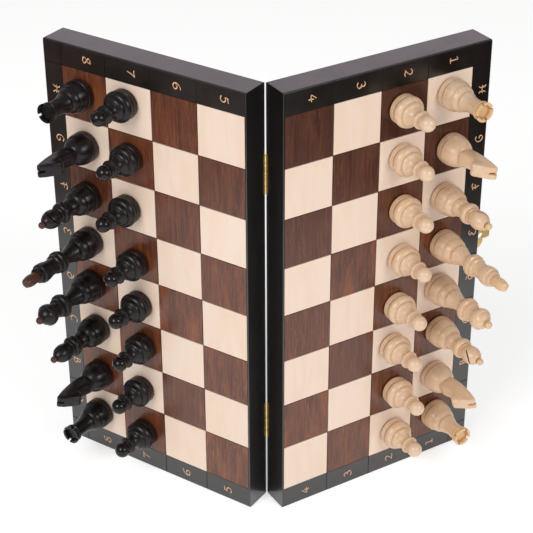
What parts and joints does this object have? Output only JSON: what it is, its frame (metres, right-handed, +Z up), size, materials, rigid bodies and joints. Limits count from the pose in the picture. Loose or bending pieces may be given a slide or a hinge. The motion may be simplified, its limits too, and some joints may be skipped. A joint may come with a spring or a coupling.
{
  "type": "folding magnetic chess set",
  "caption": "Folding wooden chess box standing open like a book, hollow halves on butt hinges with a hasp clasp, magnetic turned men on its playing faces.",
  "frame": {"origin": "centre of the footprint of the standing, half-open set, on the surface it stands on", "axes": "+Z up, parallel to the fold axis; +X towards the white half; -Y the way the playing faces look"},
  "size_m": [0.2791, 0.0996, 0.28],
  "materials": {
    "black_lacquer": "black stained wood under satin lacquer",
    "light_veneer": "pale sycamore veneer, satin lacquer",
    "dark_veneer": "brown stained veneer with vertical grain, satin lacquer",
    "white_men": "turned pale hornbeam, satin lacquer",
    "black_men": "turned and black stained, semi-gloss lacquer",
    "brass": "polished brass plate",
    "steel": "bare sheet",
    "felt": "green felt"
  },
  "bodies": {
    "left_half": {"left_outer_rail": "black_lacquer", "left_middle_rail": "black_lacquer", "left_h_end_rail": "black_lacquer", "left_a_end_rail": "black_lacquer", "left_playing_panel": "black_lacquer", "left_steel_sheet": "steel", "left_light_squares": "light_veneer", "left_dark_squares": "dark_veneer", "left_felt_lining": "felt", "left_screws": "brass", "left_upper_leaf": "brass", "left_lower_leaf": "brass", "hinge_pins": "brass", "catch_plate": "brass"},
    "right_half": {"right_outer_rail": "black_lacquer", "right_middle_rail": "black_lacquer", "right_h_end_rail": "black_lacquer", "right_a_end_rail": "black_lacquer", "right_playing_panel": "black_lacquer", "right_steel_sheet": "steel", "right_light_squares": "light_veneer", "right_dark_squares": "dark_veneer", "right_felt_lining": "felt", "right_screws": "brass", "right_upper_leaf": "brass", "right_lower_leaf": "brass", "clasp_base": "brass"},
    "hasp": {"clasp_hasp": "brass"},
    "black_rook_h": {"black_rook_h": "black_men"},
    "black_pawn_h": {"black_pawn_h": "black_men"},
    "black_knight_g": {"black_knight_g": "black_men"},
    "black_pawn_g": {"black_pawn_g": "black_men"},
    "black_bishop_f": {"black_bishop_f": "black_men"},
    "black_pawn_f": {"black_pawn_f": "black_men"},
    "black_king_e": {"black_king_e": "black_men"},
    "black_pawn_e": {"black_pawn_e": "black_men"},
    "black_queen_d": {"black_queen_d": "black_men"},
    "black_pawn_d": {"black_pawn_d": "black_men"},
    "black_bishop_c": {"black_bishop_c": "black_men"},
    "black_pawn_c": {"black_pawn_c": "black_men"},
    "black_knight_b": {"black_knight_b": "black_men"},
    "black_pawn_b": {"black_pawn_b": "black_men"},
    "black_rook_a": {"black_rook_a": "black_men"},
    "black_pawn_a": {"black_pawn_a": "black_men"},
    "white_rook_h": {"white_rook_h": "white_men"},
    "white_pawn_h": {"white_pawn_h": "white_men"},
    "white_knight_g": {"white_knight_g": "white_men"},
    "white_pawn_g": {"white_pawn_g": "white_men"},
    "white_bishop_f": {"white_bishop_f": "white_men"},
    "white_pawn_f": {"white_pawn_f": "white_men"},
    "white_king_e": {"white_king_e": "white_men"},
    "white_pawn_e": {"white_pawn_e": "white_men"},
    "white_queen_d": {"white_queen_d": "white_men"},
    "white_pawn_d": {"white_pawn_d": "white_men"},
    "white_bishop_c": {"white_bishop_c": "white_men"},
    "white_pawn_c": {"white_pawn_c": "white_men"},
    "white_knight_b": {"white_knight_b": "white_men"},
    "white_pawn_b": {"white_pawn_b": "white_men"},
    "white_rook_a": {"white_rook_a": "white_men"},
    "white_pawn_a": {"white_pawn_a": "white_men"}
  },
  "joints": [
    {"name": "board_fold", "type": "hinge", "parent": "left_half", "child": "right_half", "pos_m": [0.00059, -0.03466, 0.14], "axis": [0, 0, 1], "range_deg": [-64.88, 115.12]},
    {"name": "hasp_swing", "type": "hinge", "parent": "right_half", "child": "hasp", "pos_m": [0.12202, 0.0392, 0.14], "axis": [0, 0, 1], "range_deg": [-80, 90]},
    {"name": "black_rook_h_lift", "type": "slide", "parent": "left_half", "child": "black_rook_h", "axis": [-0.5364, -0.844, 0], "range_m": [0, 0.08]},
    {"name": "black_pawn_h_lift", "type": "slide", "parent": "left_half", "child": "black_pawn_h", "axis": [-0.5364, -0.844, 0], "range_m": [0, 0.08]},
    {"name": "black_knight_g_lift", "type": "slide", "parent": "left_half", "child": "black_knight_g", "axis": [-0.5364, -0.844, 0], "range_m": [0, 0.08]},
    {"name": "black_pawn_g_lift", "type": "slide", "parent": "left_half", "child": "black_pawn_g", "axis": [-0.5364, -0.844, 0], "range_m": [0, 0.08]},
    {"name": "black_bishop_f_lift", "type": "slide", "parent": "left_half", "child": "black_bishop_f", "axis": [-0.5364, -0.844, 0], "range_m": [0, 0.08]},
    {"name": "black_pawn_f_lift", "type": "slide", "parent": "left_half", "child": "black_pawn_f", "axis": [-0.5364, -0.844, 0], "range_m": [0, 0.08]},
    {"name": "black_king_e_lift", "type": "slide", "parent": "left_half", "child": "black_king_e", "axis": [-0.5364, -0.844, 0], "range_m": [0, 0.08]},
    {"name": "black_pawn_e_lift", "type": "slide", "parent": "left_half", "child": "black_pawn_e", "axis": [-0.5364, -0.844, 0], "range_m": [0, 0.08]},
    {"name": "black_queen_d_lift", "type": "slide", "parent": "left_half", "child": "black_queen_d", "axis": [-0.5364, -0.844, 0], "range_m": [0, 0.08]},
    {"name": "black_pawn_d_lift", "type": "slide", "parent": "left_half", "child": "black_pawn_d", "axis": [-0.5364, -0.844, 0], "range_m": [0, 0.08]},
    {"name": "black_bishop_c_lift", "type": "slide", "parent": "left_half", "child": "black_bishop_c", "axis": [-0.5364, -0.844, 0], "range_m": [0, 0.08]},
    {"name": "black_pawn_c_lift", "type": "slide", "parent": "left_half", "child": "black_pawn_c", "axis": [-0.5364, -0.844, 0], "range_m": [0, 0.08]},
    {"name": "black_knight_b_lift", "type": "slide", "parent": "left_half", "child": "black_knight_b", "axis": [-0.5364, -0.844, 0], "range_m": [0, 0.08]},
    {"name": "black_pawn_b_lift", "type": "slide", "parent": "left_half", "child": "black_pawn_b", "axis": [-0.5364, -0.844, 0], "range_m": [0, 0.08]},
    {"name": "black_rook_a_lift", "type": "slide", "parent": "left_half", "child": "black_rook_a", "axis": [-0.5364, -0.844, 0], "range_m": [0, 0.08]},
    {"name": "black_pawn_a_lift", "type": "slide", "parent": "left_half", "child": "black_pawn_a", "axis": [-0.5364, -0.844, 0], "range_m": [0, 0.08]},
    {"name": "white_rook_h_lift", "type": "slide", "parent": "right_half", "child": "white_rook_h", "axis": [0.5364, -0.844, 0], "range_m": [0, 0.08]},
    {"name": "white_pawn_h_lift", "type": "slide", "parent": "right_half", "child": "white_pawn_h", "axis": [0.5364, -0.844, 0], "range_m": [0, 0.08]},
    {"name": "white_knight_g_lift", "type": "slide", "parent": "right_half", "child": "white_knight_g", "axis": [0.5364, -0.844, 0], "range_m": [0, 0.08]},
    {"name": "white_pawn_g_lift", "type": "slide", "parent": "right_half", "child": "white_pawn_g", "axis": [0.5364, -0.844, 0], "range_m": [0, 0.08]},
    {"name": "white_bishop_f_lift", "type": "slide", "parent": "right_half", "child": "white_bishop_f", "axis": [0.5364, -0.844, 0], "range_m": [0, 0.08]},
    {"name": "white_pawn_f_lift", "type": "slide", "parent": "right_half", "child": "white_pawn_f", "axis": [0.5364, -0.844, 0], "range_m": [0, 0.08]},
    {"name": "white_king_e_lift", "type": "slide", "parent": "right_half", "child": "white_king_e", "axis": [0.5364, -0.844, 0], "range_m": [0, 0.08]},
    {"name": "white_pawn_e_lift", "type": "slide", "parent": "right_half", "child": "white_pawn_e", "axis": [0.5364, -0.844, 0], "range_m": [0, 0.08]},
    {"name": "white_queen_d_lift", "type": "slide", "parent": "right_half", "child": "white_queen_d", "axis": [0.5364, -0.844, 0], "range_m": [0, 0.08]},
    {"name": "white_pawn_d_lift", "type": "slide", "parent": "right_half", "child": "white_pawn_d", "axis": [0.5364, -0.844, 0], "range_m": [0, 0.08]},
    {"name": "white_bishop_c_lift", "type": "slide", "parent": "right_half", "child": "white_bishop_c", "axis": [0.5364, -0.844, 0], "range_m": [0, 0.08]},
    {"name": "white_pawn_c_lift", "type": "slide", "parent": "right_half", "child": "white_pawn_c", "axis": [0.5364, -0.844, 0], "range_m": [0, 0.08]},
    {"name": "white_knight_b_lift", "type": "slide", "parent": "right_half", "child": "white_knight_b", "axis": [0.5364, -0.844, 0], "range_m": [0, 0.08]},
    {"name": "white_pawn_b_lift", "type": "slide", "parent": "right_half", "child": "white_pawn_b", "axis": [0.5364, -0.844, 0], "range_m": [0, 0.08]},
    {"name": "white_rook_a_lift", "type": "slide", "parent": "right_half", "child": "white_rook_a", "axis": [0.5364, -0.844, 0], "range_m": [0, 0.08]},
    {"name": "white_pawn_a_lift", "type": "slide", "parent": "right_half", "child": "white_pawn_a", "axis": [0.5364, -0.844, 0], "range_m": [0, 0.08]}
  ]
}
